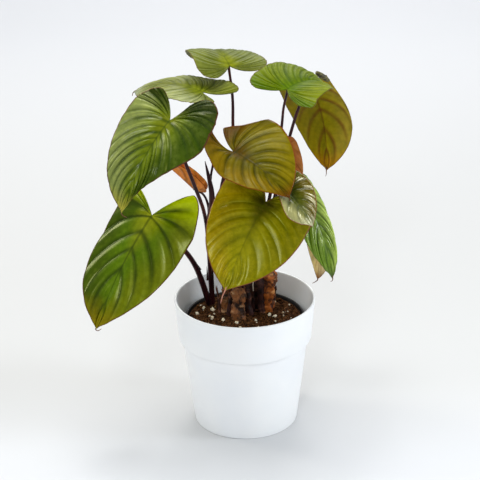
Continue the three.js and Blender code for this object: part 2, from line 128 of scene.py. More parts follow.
# Colours of all but the leaves: ground first, then what is laid over it
COLOURS = {
    # Floor and backdrop: near, middle and far, with painted light and shade
    "sweep": (0xd7d8da, 0xcdcdcc, 0xebecef),
    "cover_pot": (0xf6f8fa, 0xfbfcfc),
    "nursery_pot": (0x121213, 0x33291f),
    "soil": (0x1c0e06, 0x603c20, 0xb48050),
    "perlite": (0xfff4da, 0xe4cca0),
    "bark_brown": (0x28140a, 0x985f34, 0xd4a478),
    "bark_orange": (0x401c0a, 0xb86424, 0xecac64),
    "bark_dark": (0x0c080a, 0x2c1c1e, 0x6c5060),
    "bark_sheath": (0x100608, 0x40201a, 0x8c5c44),
    "petiole": (0x1a0a10, 0x3a161a, 0x4c2018),
    "drip_tips": (0x4a2a18, 0x7c4c30),
    "pink_drip_tip": (0xa8604c, 0xd89c84),
    "rolled_margin": (0x201808, 0x66602c),
}
FIBRE_COLOUR = 0xd8ccb8

# Blades: half thickness inside and at the margin, and their divisions
HALF_THICKNESS = 0.26
HALF_EDGE = 0.16
STATIONS = 60
ROWS_PER_VEIN = 24
COLUMNS = 22
# From here along the margin the veins leave from the midrib
FAN = 0.46
# The veins' arch: where it is full, the run over which it ends, and their bow
ARCH_FULL = 0.5
TIP_RUN = 0.15
VEIN_PULL = 0.55
VEIN_UNEVENNESS = 0.11
# How far from the midrib the relief is full, and stands square
RIPPLE_RISE = 14
SEAM_REACH = 3
# The petiole meets the blade this far along the midrib
JUNCTION_INSET = 2
# Relief: ridges between the main veins, a groove midway, pleats, and waves at the margin
RIDGE_HEIGHT = 1.9
RIDGE_SHAPE = 1.7
RIDGE_SINK = 0.75
MIDWAY_DEPTH = 0.75
MIDWAY_WIDTH = 0.2
PLEAT_DEPTH = 0.1
PLEATS_PER_VEIN = 4
WAVE_HEIGHT = 0.6
# Groove along the midrib; how far it and the main veins stand out below
GROOVE_DEPTH = 0.3
GROOVE_WIDTH = 1.6
MIDRIB_RISE = 0.8
VEIN_RISE = 0.3

# Half outline, from the sinus round the lobe to the tip: across in half widths,
# along in lobe lengths behind the junction and blade lengths ahead of it
MARGIN = [
    (0, 0), (0.17, -0.30), (0.36, -0.72), (0.61, -1.0), (0.85, -0.80), (0.985, -0.28),
    (1.0, 0.12), (0.96, 0.32), (0.85, 0.51), (0.67, 0.68), (0.43, 0.82), (0.20, 0.915),
    (0.06, 0.965), (0.015, 0.985), (0, 1),
]

# The leaves: angles in degrees, and the right half first in pairs. Slim narrows a half towards the
# tip and lean towards the lobe's end; folds are slopes at the lobe's end, a quarter of the way
# along and the tip; relief, midway and pleats are depths; sweep and bend turn the veins.
# Colours: heart round the junction, inner by the midrib, outer by the margin, lobe behind the
# junction, tip at the point, then the veins' own colour, which also paints shade into the grooves,
# the line round the margin, and a pale painted sheen on the ridges. A few outer and tip colours
# are pale with painted sheen. Darkness is the strength of the painted groove shade, gloss the
# roughness, shine and blue the strength and whiteness of highlights, wax a clear coat.
LEAVES = {
    "top": dict(
        joint=(-13, 40, 386), yaw=114, pitch=34, droop=96, back=-21, length=80, widths=(40, 38),
        lobes=(22, 19), folds=((20, -3, -12), (14, 18, -6)), curls=(-10, -15), relief=0.56, midway=1.0,
        pleats=1.2, heart=0x747a08, inner=0x525a18, outer=(0x606828, 0x626a28), lobe=0x545c18,
        tip=0x606630, vein=0x3c480c, line=0x6c5c28, ridge_sheen=0x7c8444, darkness=0.45, gloss=0.38,
        shine=0.12),
    "upper_right": dict(
        joint=(45, -4, 374), yaw=52, pitch=12, droop=45, roll=10, back=-5, length=71, widths=(37, 38),
        lobes=(21, 27), slim=(0, -0.15), lean=(-0.4, 0), folds=((10, 12, 0), (22, 18, 20)),
        curls=(-10, -15), relief=0.72, midway=1.2, pleats=1.2, heart=0x4e6800, inner=0x506400,
        outer=(0x707a12, 0x606e04), lobe=0x486000, tip=0x7c8840, vein=0x284400, line=0x5c4c20,
        ridge_sheen=0x8c983c, darkness=0.6, gloss=0.4, shine=0.07),
    "far_right": dict(
        joint=(72, 82, 350), yaw=55, pitch=-50, droop=45, roll=-25, length=118, widths=(20.5, 41),
        lobes=(6, 18), slim=(-1.45, 0), lean=(0.5, 0), folds=((20, 10, 10), (10, 10, 10)),
        curls=(10, 10), relief=0.56, midway=0.3, pleats=0.3, heart=0x766c0c, inner=0x827606,
        outer=(0x928026, 0x8e7e0a), lobe=0x5c5410, tip=0xa8760c, vein=0x5e2414, line=0x5c2c14,
        ridge_sheen=0x968630, darkness=0.65, gloss=0.5, shine=0.1),
    # Painted sheen: the pale grey-green outer colours and tip
    "upper_left": dict(
        joint=(-41, 10, 368), yaw=153, pitch=17, droop=50, roll=1, back=-12, length=84, widths=(37, 39),
        lobes=(33, 26), slim=(0.05, -0.15), lean=(0.2, 0), folds=((26, 3, 5), (14, 2, -20)),
        relief=0.72, midway=1.3, pleats=1.8, heart=0x727c0e, inner=0x60661a, outer=(0x868c50, 0x8c9262),
        lobe=0x606814, tip=0xa4a88c, vein=0x3c480c, line=0x5c4c20, ridge_sheen=0x8c9060, darkness=0.7,
        gloss=0.36, shine=0.3),
    "centre": dict(
        joint=(-9, -42, 322), yaw=-41, pitch=-8, droop=31, roll=16, back=-17, length=79,
        widths=(39, 54), lobes=(31, 31), slim=(0, 0.2), lean=(-0.5, 0.5),
        folds=((72, 9, 14), (10, 14, 8)), relief=0.63, midway=0.8, pleats=0.3, heart=0x4a3000,
        inner=0x564e00, outer=(0x745c00, 0x726404), lobe=0x502a00, tip=0x562800, vein=0x302c00,
        line=0x7c3c18, ridge_sheen=0x7c7024, darkness=0.8, gloss=0.34, shine=0.1, wax=0.05),
    # Painted sheen: the pale first outer colour
    "left": dict(
        joint=(-72, -50, 359), yaw=-136, pitch=-34, droop=32, roll=-23, back=-28, length=105,
        widths=(42, 57), lobes=(28, 32), slim=(0, 0.8), lean=(0.1, -0.4),
        folds=((22, 16, 15), (48, 20, 0)), curls=(-20, -20), relief=1.1, midway=1.5, pleats=1.3,
        sweep=1.5, heart=0x687000, inner=0x5e6e00, outer=(0x7c8648, 0x364a00), lobe=0x263400,
        tip=0xa8a03c, vein=0x1c3802, line=0x5c2c24, ridge_sheen=0x848f4c, darkness=0.75, gloss=0.28,
        shine=0.17, wax=0.18, blue=0.1),
    "front": dict(
        joint=(22, -52, 272), yaw=-128, pitch=-38, droop=18, roll=-31, length=101, widths=(48, 52),
        lobes=(33, 34), folds=((5, 5, 5), (5, 5, 5)), curls=(-20, -20), relief=0.585, midway=0.9,
        pleats=0.15, sweep=1.2, heart=0x2a2602, inner=0x8a8403, outer=(0x968000, 0x7a7400),
        lobe=0x686002, tip=0x7c7400, vein=0x4c5002, line=0x7c3c30, ridge_sheen=0xa89838, darkness=0.5,
        gloss=0.27, shine=0.26, wax=0.1),
    # Painted sheen: the pale first outer colour
    "folded": dict(
        joint=(44, -61, 286), yaw=-64, pitch=-9, droop=19, roll=4, length=56, widths=(21, 24),
        lobes=(14, 28), slim=(-0.4, 0.3), lean=(0, -0.1), folds=((32, 35, -10), (32, 26, 16)),
        curls=(-10, -20), veins=8, relief=0.63, midway=0.5, pleats=0.4, heart=0x445410, inner=0x4e5410,
        outer=(0x94915e, 0x5c4e00), lobe=0x6c640c, tip=0xa0a080, vein=0x243408, line=0x8c3c38,
        ridge_sheen=0x98945c, darkness=0.5, gloss=0.17, shine=0.4, wax=0.35, blue=0.6),
    # Painted highlight: the pale second outer colour
    "right": dict(
        joint=(62, 0, 257), yaw=-46, pitch=-45, droop=35, roll=10, length=94, widths=(25, 17),
        lobes=(20, 26), folds=((10, 10, 10), (10, 10, 10)), curls=(-20, -20), veins=8, relief=1.3,
        midway=1.1, pleats=0.6, sweep=1.7, heart=0x5c8618, inner=0x62800c, outer=(0x688818, 0xb0c85c),
        lobe=0x98b45c, tip=0x183c00, vein=0x184404, line=0x485c10, ridge_sheen=0xa8c080, darkness=0.75,
        gloss=0.17, shine=0.45, wax=0.5, blue=0.35),
    "withered": dict(
        joint=(86, 18, 216), yaw=-115, pitch=-51, droop=38, length=60, widths=(20, 9), lobes=(8, 3),
        slim=(0.6, -1.6), lean=(0, 0.6), folds=((20, 20, 20), (20, 20, 20)), curls=(0, 0), veins=6,
        relief=0.4, midway=0.6, pleats=0.6, heart=0x8c8c28, inner=0xfce0a4, outer=(0xf8dc9c, 0xf8e0b0),
        lobe=0x9c9038, tip=0x8c4c20, vein=0xac6c34, line=0x7c3c1c, ridge_sheen=0xf8e0b0, darkness=0.4,
        gloss=0.45, shine=0.2),
    "lower_left": dict(
        joint=(-93, -50, 258), yaw=-139, pitch=-43, droop=21, roll=-34, back=4, length=129,
        widths=(40, 50), lobes=(24, 40), slim=(-0.25, -0.05), lean=(-1.1, 0.15),
        folds=((-4, -19, 8), (13, 4, 25)), curls=(-10, -8), relief=1.0, midway=0.1, pleats=0.15,
        sweep=1.5, bend=24, heart=0x8c9212, inner=0x506e00, outer=(0x344800, 0x626c00), lobe=0xa8b804,
        tip=0x847200, vein=0x183002, line=0x5c2c14, ridge_sheen=0x74862c, darkness=0.8, gloss=0.24,
        shine=0.26, wax=0.1, blue=0.15),
    "young_left": dict(
        joint=(-50, 10, 261), yaw=175, pitch=48, droop=10, length=50, widths=(15, 15), lobes=(8, 8),
        folds=((60, 60, 60), (60, 60, 60)), curls=(0, 0), veins=6, relief=0.28, midway=0.4, pleats=0.4,
        heart=0xc0602c, inner=0xfc8c40, outer=(0xfc9844, 0xf48438), lobe=0xb45828, tip=0x9c4414,
        vein=0x94401c, line=0x642810, ridge_sheen=0xfcac78, darkness=0.6, gloss=0.22, shine=0.45),
    "young_right": dict(
        joint=(44, 12, 306), yaw=-62, pitch=-45, droop=20, length=46, widths=(13, 13), lobes=(10, 10),
        folds=((20, 20, 20), (20, 20, 20)), curls=(0, 0), veins=6, relief=0.32, midway=0.4, pleats=0.4,
        heart=0xa8582c, inner=0xac5e30, outer=(0xa85830, 0xb0683c), lobe=0xa05830, tip=0x8c4828,
        vein=0x844024, line=0x643020, ridge_sheen=0xc08864, darkness=0.5, gloss=0.35, shine=0.3),
}
PLAIN_LEAF = dict(
    roll=0, back=0, slim=(0, 0), lean=(0, 0), curls=(-10, -10), veins=10, sweep=1.3, bend=25,
    wax=0, blue=0.06)
LEAVES = {name: {**PLAIN_LEAF, **leaf} for name, leaf in LEAVES.items()}
COAT_ROUGHNESS = 0.13

# Woody stumps: foot on the soil, top, radii there
STUMPS = {
    "left": dict(foot=(-20, 13), top=(-19, 12, 152), radii=(5, 4.6), bark="brown"),
    "middle": dict(foot=(-7, -5), top=(-6, -2, 158), radii=(7.6, 7), bark="brown"),
    "back": dict(foot=(8, 24), top=(7.5, 24, 154), radii=(8.6, 9), bark="dark"),
    "right": dict(foot=(24.5, 14), top=(26, 6, 170), radii=(5.6, 8.6), bark="orange"),
}
STUMP_RINGS = 110
STUMP_SIDES = 56
# Leaf scars and bark of a stump, and the run over which its top is rounded
SCAR_SPACING = 9.5
SCAR_HEIGHT = 0.3
SCAR_GROOVE = 0.15
SCAR_SKEW = 1.6
KNOB_HEIGHT = 2.5
BARK_ROUGHNESS = 1.1
BARK_SINK = 0.2
DOME_RUN = 5

# Groups of petioles, and the stump that they leave: leaf, radii at both ends, points between them
STEM_GROUPS = {
    "left": (None, [
        ("left", (2.3, 1.7), [
            (-36, 34, 96), (-36, 34, 120), (-37, 28, 158), (-38, 12, 203), (-41, -8, 243),
            (-49, -26, 278), (-57, -36, 306)]),
        ("lower_left", (3.6, 2.0), [
            (-37, 34, 96), (-38, 34, 114), (-42, 28, 134), (-51, 10, 172), (-62, -10, 201)]),
        ("upper_left", (1.7, 1.0), [
            (-34, 35, 96), (-34, 35, 120), (-35, 26, 180), (-35, 12, 240), (-33.5, 8, 277),
            (-31, 6, 293), (-33, 8, 335)]),
        ("young_left", (1.6, 1.0), [(-37, 13, 222), (-37, 12, 242), (-42, 10, 256)]),
    ]),
    "centre": ("left", [("centre", (3.0, 1.7), [(-23, 8, 200), (-24, 2, 250), (-20, -8, 281)])]),
    "front": ("middle", [("front", (3.2, 1.8), [(2, -10, 200), (12, -28, 242)])]),
    "back": ("back", [
        ("top", (2.6, 1.3), [
            (2, 32, 190), (-6, 38, 250), (-9, 41, 292), (-10, 42, 319), (-10, 41, 351)]),
        ("upper_right", (2.4, 1.2), [(18, 25, 200), (32, 23, 270), (40, 18, 325), (42, 8, 351)]),
        ("far_right", (2.6, 1.4), [(22, 30, 190), (38, 38, 260), (49, 48, 303), (60, 62, 333)]),
        ("young_right", (1.8, 1.0), [(18, 18, 190), (32, 14, 250), (40, 13, 280)]),
    ]),
    "right": ("right", [
        ("folded", (2.4, 1.3), [(33, -3, 215), (34, -20, 252), (39, -38, 279)]),
        ("right", (2.4, 1.4), [(44, 4, 210), (56, 4, 240)]),
        ("withered", (2.0, 1.1), [(46, 14, 190), (68, 22, 206)]),
    ]),
}
# How far below its stump's top a petiole starts
STUMP_CUT = 4
PETIOLE_RINGS = 70
PETIOLE_SIDES = 20
# A petiole's gap below the blade; by what share and over what length it widens
PETIOLE_DROP = 0.2
FOOT_SWELL = (0.75, 14)
NECK_SWELL = (0.22, 5)
# Where the left group enters the soil, and its radius
LEFT_BUNCH = (-36.5, 34.3, 5.5)

# The unopened new leaf, rolled to a point
SPIKE_POINTS = [(-37, 13, 222), (-33, 6, 246), (-33, 2, 262), (-35, 0, 276), (-39, -3, 298)]
SPIKE_RADII = (3.3, 0.3)
SPIKE_RINGS = 40

# Thin dry ends of the blades, as steps from each tip
DRIP_TIPS = {
    "top": [(1.5, 0, -4), (5, 0, -10)],
    "upper_left": [(-1, 0, -1.5), (-1.6, 0, -4.5)],
    "left": [(2, 0, -3), (5.2, -0.5, -4.4)],
    "lower_left": [(2.2, 0, -1.4), (5.6, 0, 0.8)],
    "far_right": [(0, 0, -3), (-0.8, 0, -6)],
    "centre": [(0.2, 0, -1.5), (-0.2, 0, -3.5)],
    "front": [(-2.2, 0, -5), (-4.2, 0, -13)],
    "right": [(-0.6, 0, -1.5), (-2.2, 0, -2.6)],
    "withered": [(-2, 0, -2.2), (-5.6, 0, -4)],
}
DRIP_RADII = (0.75, 0.25)
DRIP_START = (0.95, 0.995)

# Small sheaths on the petioles: foot, tip, radius
LIGULES = [
    ((-47, 9.5, 170), (-50.8, 7.6, 179), 1.5),
    ((-32.5, 3, 246), (-30.6, 1.5, 255), 1.4),
    ((-39.5, 22, 152), (-40, 18, 170), 1.3),
]

# Dry leaf sheaths round the stumps: foot, middle, top, half width
HUSKS = [
    ((-13, 4), (-13.5, 2, 134), (-12.5, 0, 150), 5.2),
    ((-27, 9), (-28, 8, 138), (-30.5, 7, 153), 1.9),
    ((1.5, 6), (1.5, 4, 136), (2.5, 2, 156), 6.2),
    ((5, 12), (7, 9, 138), (9, 4, 158), 5.4),
    ((16, 18), (15.5, 12, 138), (13.5, 4, 160), 6.2),
    ((19, 11), (18.5, 6, 142), (17.5, -2, 166), 4.6),
    ((-7, 16), (-9, 14, 138), (-11, 12, 158), 5.4),
    ((30, 20), (32, 16, 138), (34, 10, 150), 2.6),
]
HUSK_DEPTH = 8
HUSK_RINGS = 60
HUSK_SIDES = 24

# A pale root in front of the stumps, and the rolled edge of the far leaf's lobe
FIBRE_POINTS = [(9.2, -7, 152), (8.8, -8.5, 160), (9.6, -8, 168)]
FIBRE_RADII = (0.35, 0.6)
ROLLED_MARGIN = [(78.3, 76, 366), (85, 78, 360.7), (91.8, 80, 355.1)]
ROLL_RADIUS = 3


def linear(colour):
    """A hex number as a linear colour; anything else as it is."""
    if not isinstance(colour, int):
        return colour
    parts = [(colour >> shift & 255) / 255 for shift in (16, 8, 0)]
    return (*(p / 12.92 if p <= 0.04045 else ((p + 0.055) / 1.055) ** 2.4 for p in parts), 1.0)


class Shades:
    """A procedural material: short calls that add nodes."""

    def __init__(self, name, shine, **shader_values):
        self.material = bpy.data.materials.new(name)
        self.material.use_nodes = True
        self.tree = self.material.node_tree
        self.tree.nodes.clear()
        self.shader = self.tree.nodes.new("ShaderNodeBsdfPrincipled")
        self.add("ShaderNodeOutputMaterial", {"Surface": self.shader.outputs["BSDF"]})
        self.put(self.shader, "Specular IOR Level", shine)
        for socket, value in shader_values.items():
            self.put(self.shader, socket.replace("_", " "), value)

    def add(self, kind, sockets=None, **settings):
        made = self.tree.nodes.new(kind)
        for key, value in settings.items():
            setattr(made, key, value)
        for socket, value in (sockets or {}).items():
            self.put(made, socket, value)
        return made.outputs

    def put(self, made, socket, value):
        if isinstance(value, bpy.types.NodeSocket):
            self.tree.links.new(value, made.inputs[socket])
        else:
            made.inputs[socket].default_value = value

    def math(self, operation, *values):
        return self.add("ShaderNodeMath", dict(enumerate(values)), operation=operation)[0]

    def times(self, first, second):
        return self.math("MULTIPLY", first, second)

    def plus(self, first, second):
        return self.math("ADD", first, second)

    def scaled(self, value, factor, start):
        return self.math("MULTIPLY_ADD", value, factor, start)

    def rise(self, value, low, high):
        """0 below low, 1 above high; falls where low is above high."""
        start, end = (0.0, 1.0) if low < high else (1.0, 0.0)
        sockets = {"Value": value, "From Min": min(low, high), "From Max": max(low, high),
                   "To Min": start, "To Max": end}
        return self.add("ShaderNodeMapRange", sockets, interpolation_type="SMOOTHSTEP")[0]

    def mix(self, share, first, second, blend="MIX"):
        sockets = {0: share, 6: linear(first), 7: linear(second)}
        return self.add("ShaderNodeMix", sockets, data_type="RGBA", blend_type=blend)[2]

    def place(self, stretch=(1, 1, 1)):
        place = self.add("ShaderNodeTexCoord")["Object"]
        return self.add("ShaderNodeMapping", {"Vector": place, "Scale": stretch})[0]

    def noise(self, scale, detail=3.0, rough=0.55, stretch=(1, 1, 1)):
        sockets = {"Vector": self.place(stretch), "Scale": scale, "Detail": detail, "Roughness": rough}
        return self.add("ShaderNodeTexNoise", sockets)["Fac"]

    def spots(self, scale):
        sockets = {"Vector": self.place(), "Scale": scale}
        return self.add("ShaderNodeTexVoronoi", sockets)["Distance"]

    def split(self, vector):
        return self.add("ShaderNodeSeparateXYZ", {0: vector})

    def uv(self, layer):
        return self.split(self.add("ShaderNodeUVMap", uv_map=layer)[0])[:2]

    def bump(self, height, strength, distance):
        sockets = {"Height": height, "Strength": strength, "Distance": distance}
        self.put(self.shader, "Normal", self.add("ShaderNodeBump", sockets)[0])

    def finish(self, colour, roughness):
        self.put(self.shader, "Base Color", linear(colour))
        self.put(self.shader, "Roughness", roughness)
        return self.material


def add_mesh(name, places, faces, material, smooth_faces=True):
    """A mesh object from places in millimetres."""
    mesh = bpy.data.meshes.new(name)
    mesh.from_pydata((np.array(places) * MM).tolist(), [], faces, shade_flat=not smooth_faces)
    mesh.validate()
    mesh.materials.append(material)
    made = bpy.data.objects.new(name, mesh)
    bpy.context.scene.collection.objects.link(made)
    return made


def add_piece(name, shapes, material, node=None, smooth_faces=True):
    """Several shapes as one piece, which stands for the named solid."""
    places, faces = [], []
    for some_places, some_faces in shapes:
        first = sum(len(p) for p in places)
        faces += [[c + first for c in face] for face in some_faces]
        places.append(some_places)
    piece = add_mesh(name, np.vstack(places), faces, material, smooth_faces)
    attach(piece, "root")
    if node:
        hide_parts(node)
    return piece


def smooth(t):
    u = np.clip(t, 0, 1)
    return u * u * (3 - 2 * u)


def through_points(points, t):
    """Catmull-Rom through the points, at each t from 0 to 1."""
    points = np.array(points, float)
    last = len(points) - 1
    f = np.clip(t, 0, 1) * last
    i = np.minimum(np.floor(f).astype(int), last - 1)
    w = (f - i)[..., None]
    p1, p2 = points[i], points[i + 1]
    before = np.where((i > 0)[..., None], points[np.maximum(i - 1, 0)], 2 * p1 - p2)
    after = np.where((i + 2 <= last)[..., None], points[np.minimum(i + 2, last)], 2 * p2 - p1)
    return 0.5 * (2 * p1 + (p2 - before) * w + (2 * before - 5 * p1 + 4 * p2 - after) * w ** 2
                  + (3 * p1 - before - 3 * p2 + after) * w ** 3)


def centripetal(points, count):
    """Evenly spaced places along the curve through the points, and its length."""
    p = np.array(points, float)
    p = np.vstack([2 * p[0] - p[1], p, 2 * p[-1] - p[-2]])
    dense = []
    for i in range(len(p) - 3):
        x0, x1, x2, x3 = p[i:i + 4]
        d0, d1, d2 = (max(np.linalg.norm(v) ** 0.5, 1e-4) for v in (x1 - x0, x2 - x1, x3 - x2))
        t1 = ((x1 - x0) / d0 - (x2 - x0) / (d0 + d1) + (x2 - x1) / d1) * d1
        t2 = ((x2 - x1) / d1 - (x3 - x1) / (d1 + d2) + (x3 - x2) / d2) * d1
        s = np.linspace(0, 1, 60, endpoint=False)[:, None]
        dense.append(x1 + t1 * s + (-3 * x1 + 3 * x2 - 2 * t1 - t2) * s ** 2
                     + (2 * x1 - 2 * x2 + t1 + t2) * s ** 3)
    dense = np.vstack([*dense, p[-2][None]])
    lengths = np.concatenate([[0], np.cumsum(np.linalg.norm(np.diff(dense, axis=0), axis=1))])
    even = np.linspace(0, lengths[-1], count)
    return np.stack([np.interp(even, lengths, dense[:, k]) for k in range(3)], -1), lengths[-1]


def round_turns(sides):
    return 2 * np.pi * np.arange(sides) / sides


def capped_rings(count, sides):
    """Faces of a closed tube, whose places are its rings and then the centres of its ends."""
    faces = []
    for i in range(count - 1):
        for k in range(sides):
            p, q = i * sides + k, i * sides + (k + 1) % sides
            faces.append([p, q, q + sides, p + sides])
    foot, last = count * sides, (count - 1) * sides
    for k in range(sides):
        n = (k + 1) % sides
        faces.append([foot, n, k])
        faces.append([foot + 1, last + k, last + n])
    return faces


def tube(path, radii, sides):
    """Closed tube: radii is one per ring, or one per ring and side."""
    count = len(path)
    tangents = np.gradient(path, axis=0)
    tangents /= np.linalg.norm(tangents, axis=1, keepdims=True)
    normal = np.cross(tangents[0], (0.3, 0.9, 0.1))
    radii = np.broadcast_to(np.reshape(radii, (count, -1)), (count, sides))
    turns = round_turns(sides)
    places = []
    for centre, tangent, reach in zip(path, tangents, radii):
        normal = normal - tangent * (normal @ tangent)
        normal /= np.linalg.norm(normal)
        other = np.cross(tangent, normal)
        ring = np.cos(turns)[:, None] * normal + np.sin(turns)[:, None] * other
        places.append(centre + ring * reach[:, None])
    return np.vstack([*places, path[:1], path[-1:]]), capped_rings(count, sides)


def strand(points, radii, sides):
    """A tube through the points, with a ring for each radius."""
    path, _ = centripetal(points, len(radii))
    return tube(path, radii, sides)


def wall_noise(along, turns, reach, *fractal):
    """Noise for each ring and turn, fractal where its settings are given."""
    kind = noise.fractal if fractal else noise.noise
    return np.array([[kind(Vector((math.cos(t) * reach, math.sin(t) * reach, rise)), *fractal)
                      for t in turns] for rise in along])


def vein_closeness(mat, run, times=1):
    """1 on the veins, 0 midway between them; times counts finer veins to each."""
    turns = mat.math("FRACT", mat.times(run, float(times)))
    return mat.math("ABSOLUTE", mat.scaled(turns, 2.0, -1.0))


def zone_colour(mat, leaf, across):
    """The ground colour: inner to outer, then the lobe, heart and tip."""
    side, ahead = mat.uv("zones")
    patch = mat.noise(28, 2)
    right, left = leaf["outer"]
    outer = mat.mix(mat.rise(side, -0.02, 0.02), left, right)
    spread = mat.plus(across, mat.scaled(patch, 0.5, -0.25))
    colour = mat.mix(mat.rise(spread, 0.1, 0.75), leaf["inner"], outer)
    colour = mat.mix(mat.rise(ahead, -0.05, -0.7), colour, leaf["lobe"])
    distance = mat.plus(across, mat.math("ABSOLUTE", ahead))
    colour = mat.mix(mat.rise(distance, 0.5, 0.05), colour, leaf["heart"])
    tip = mat.rise(mat.plus(ahead, mat.times(patch, 0.2)), 0.85, 1.08)
    return mat.mix(tip, colour, leaf["tip"])


def veined_colour(mat, leaf, colour, across, run, mottle):
    """Vein colour, with painted shade in the grooves and a painted sheen on the ridges."""
    darkness = leaf["darkness"]
    # Painted shade: the vein colour darkens the grooves along the main veins and, fainter, midway
    # between them
    close = vein_closeness(mat, run)
    uneven = mat.scaled(mat.noise(70, 3), 1.3, 0.3)
    groove = mat.times(mat.rise(close, 0.5, 1.0), mat.rise(across, 1.15, 0.5))
    groove = mat.times(groove, mat.times(uneven, darkness))
    colour = mat.mix(groove, colour, leaf["vein"])
    midway = mat.times(mat.rise(close, 0.22, 0.0), darkness * leaf["midway"] * 0.5)
    colour = mat.mix(mat.times(midway, uneven), colour, leaf["vein"])
    # Painted sheen: a pale colour lightens the ridges between the grooves
    ridge = mat.times(mat.rise(close, 0.15, 0.4), mat.rise(close, 0.8, 0.5))
    ridge = mat.times(ridge, mat.rise(mottle, 0.35, 0.65))
    colour = mat.mix(mat.times(ridge, 0.12), colour, leaf["ridge_sheen"])
    middle = mat.times(mat.rise(across, 0.03, 0.008), 0.7 * darkness)
    return mat.mix(middle, colour, leaf["vein"])


def leaf_material(name):
    leaf = LEAVES[name]
    mat = Shades(f"leaf_{name}", leaf["shine"], Specular_Tint=(1, 1, leaf["blue"], 1),
                    Coat_Weight=leaf["wax"], Coat_Roughness=COAT_ROUGHNESS)
    across, run = mat.uv("veins")
    mottle = mat.noise(160, 4, 0.65)
    colour = zone_colour(mat, leaf, across)
    colour = veined_colour(mat, leaf, colour, across, run, mottle)
    # Blotches, and the thin line round the margin
    light = mat.mix(1.0, colour, (1.15, 1.13, 1.0, 1), "MULTIPLY")
    dark = mat.mix(1.0, colour, (0.84, 0.86, 0.84, 1), "MULTIPLY")
    colour = mat.mix(mat.rise(mottle, 0.3, 0.72), dark, light)
    colour = mat.mix(mat.rise(across, 0.972, 0.99), colour, leaf["line"])
    # Fine lines that fade near the midrib, and a grain
    lines = mat.rise(vein_closeness(mat, run, PLEATS_PER_VEIN), 0.2, 1.0)
    lines = mat.times(mat.times(lines, -1.2), mat.rise(across, 0.1, 0.45))
    height = mat.plus(lines, mat.times(mat.noise(900, 2), 0.6))
    mat.bump(height, 0.3, 0.0004 * leaf["pleats"])
    # Duller along the midrib
    roughness = mat.scaled(mottle, 0.12, leaf["gloss"] - 0.06)
    dull = mat.times(mat.rise(across, 0.22, 0.03), 0.25)
    return mat.finish(colour, mat.plus(roughness, dull))


def flat_point(leaf, a, b, side):
    """Flat places: a runs along the margin from sinus to tip, b from midrib to margin."""
    outline = through_points(MARGIN, a)
    across, along = outline[..., 0], outline[..., 1]
    narrowing = 1 - leaf["slim"][side] * smooth(along)
    narrowing = narrowing * (1 - leaf["lean"][side] * np.maximum(-along, 0))
    ex = across * leaf["widths"][side] * narrowing
    ey = along * np.where(along < 0, leaf["lobes"][side], leaf["length"])
    my = leaf["length"] * np.maximum(0, (a - FAN) / (1 - FAN)) ** leaf["sweep"]
    straight = smooth((a - 1 + TIP_RUN) / TIP_RUN)
    turn = math.radians(leaf["bend"]) * smooth(a / ARCH_FULL) * (1 - straight)
    dx, dy = ex, ey - my
    cx = VEIN_PULL * (dx * np.cos(turn) + dy * np.sin(turn))
    cy = my + VEIN_PULL * (dy * np.cos(turn) - dx * np.sin(turn))
    u = 1 - b
    x = 2 * u * b * cx + b * b * ex
    y = u * u * my + 2 * u * b * cy + b * b * ey
    return x, y, b * np.hypot(dx, dy)


def midrib(leaf):
    """The bent midrib: a function from the distance past the junction to place and axes."""
    behind = max(leaf["lobes"]) * 1.05
    step = (leaf["length"] + behind) / (STATIONS - 1)
    frames = []
    for i in range(STATIONS):
        y = i * step - behind
        fall = leaf["droop"] * y / leaf["length"] if y >= 0 else leaf["back"] * y / behind
        turned = (Matrix.Rotation(math.radians(leaf["yaw"] - 90), 3, "Z")
                  @ Matrix.Rotation(math.radians(leaf["pitch"] - fall), 3, "X")
                  @ Matrix.Rotation(math.radians(leaf["roll"]), 3, "Y"))
        frames.append(np.array(turned))
    frames = np.array(frames)
    steps = (frames[1:, :, 1] + frames[:-1, :, 1]) * step / 2
    places = np.vstack([np.zeros(3), np.cumsum(steps, axis=0)])

    def at(y):
        f = np.clip((y + behind) / step, 0, STATIONS - 1.000001)
        i = np.floor(f).astype(int)
        w = (f - i)[..., None]
        frame_at = frames[i] + (frames[i + 1] - frames[i]) * w[..., None]
        return places[i] + (places[i + 1] - places[i]) * w, frame_at

    places += np.array(leaf["joint"], float) - at(np.array(0.0))[0]
    return at


def fold_at(leaf, side, y):
    lobe, quarter, tip = leaf["folds"][side]
    turn = leaf["length"] / 4
    reach = leaf["lobes"][side]
    early = lobe + (quarter - lobe) * smooth((y + reach) / (turn + reach))
    late = quarter + (tip - quarter) * smooth((y - turn) / (leaf["length"] - turn))
    return np.where(y < turn, early, late)


def bent(leaf, side, x, y):
    """How far a flat place stands out and up from the midrib, and its slope."""
    fold = np.radians(fold_at(leaf, side, y))
    curl = math.radians(leaf["curls"][side]) / leaf["widths"][side]
    end = fold + curl * x
    if abs(curl) < 1e-9:
        return x * np.cos(fold), x * np.sin(fold), end
    return (np.sin(end) - np.sin(fold)) / curl, (np.cos(fold) - np.cos(end)) / curl, end


def vein_turns(leaf, a):
    """Counts the main veins along the margin, unevenly."""
    return a * leaf["veins"] + VEIN_UNEVENNESS * np.sin(a * leaf["veins"] * 2.2 + leaf["length"])


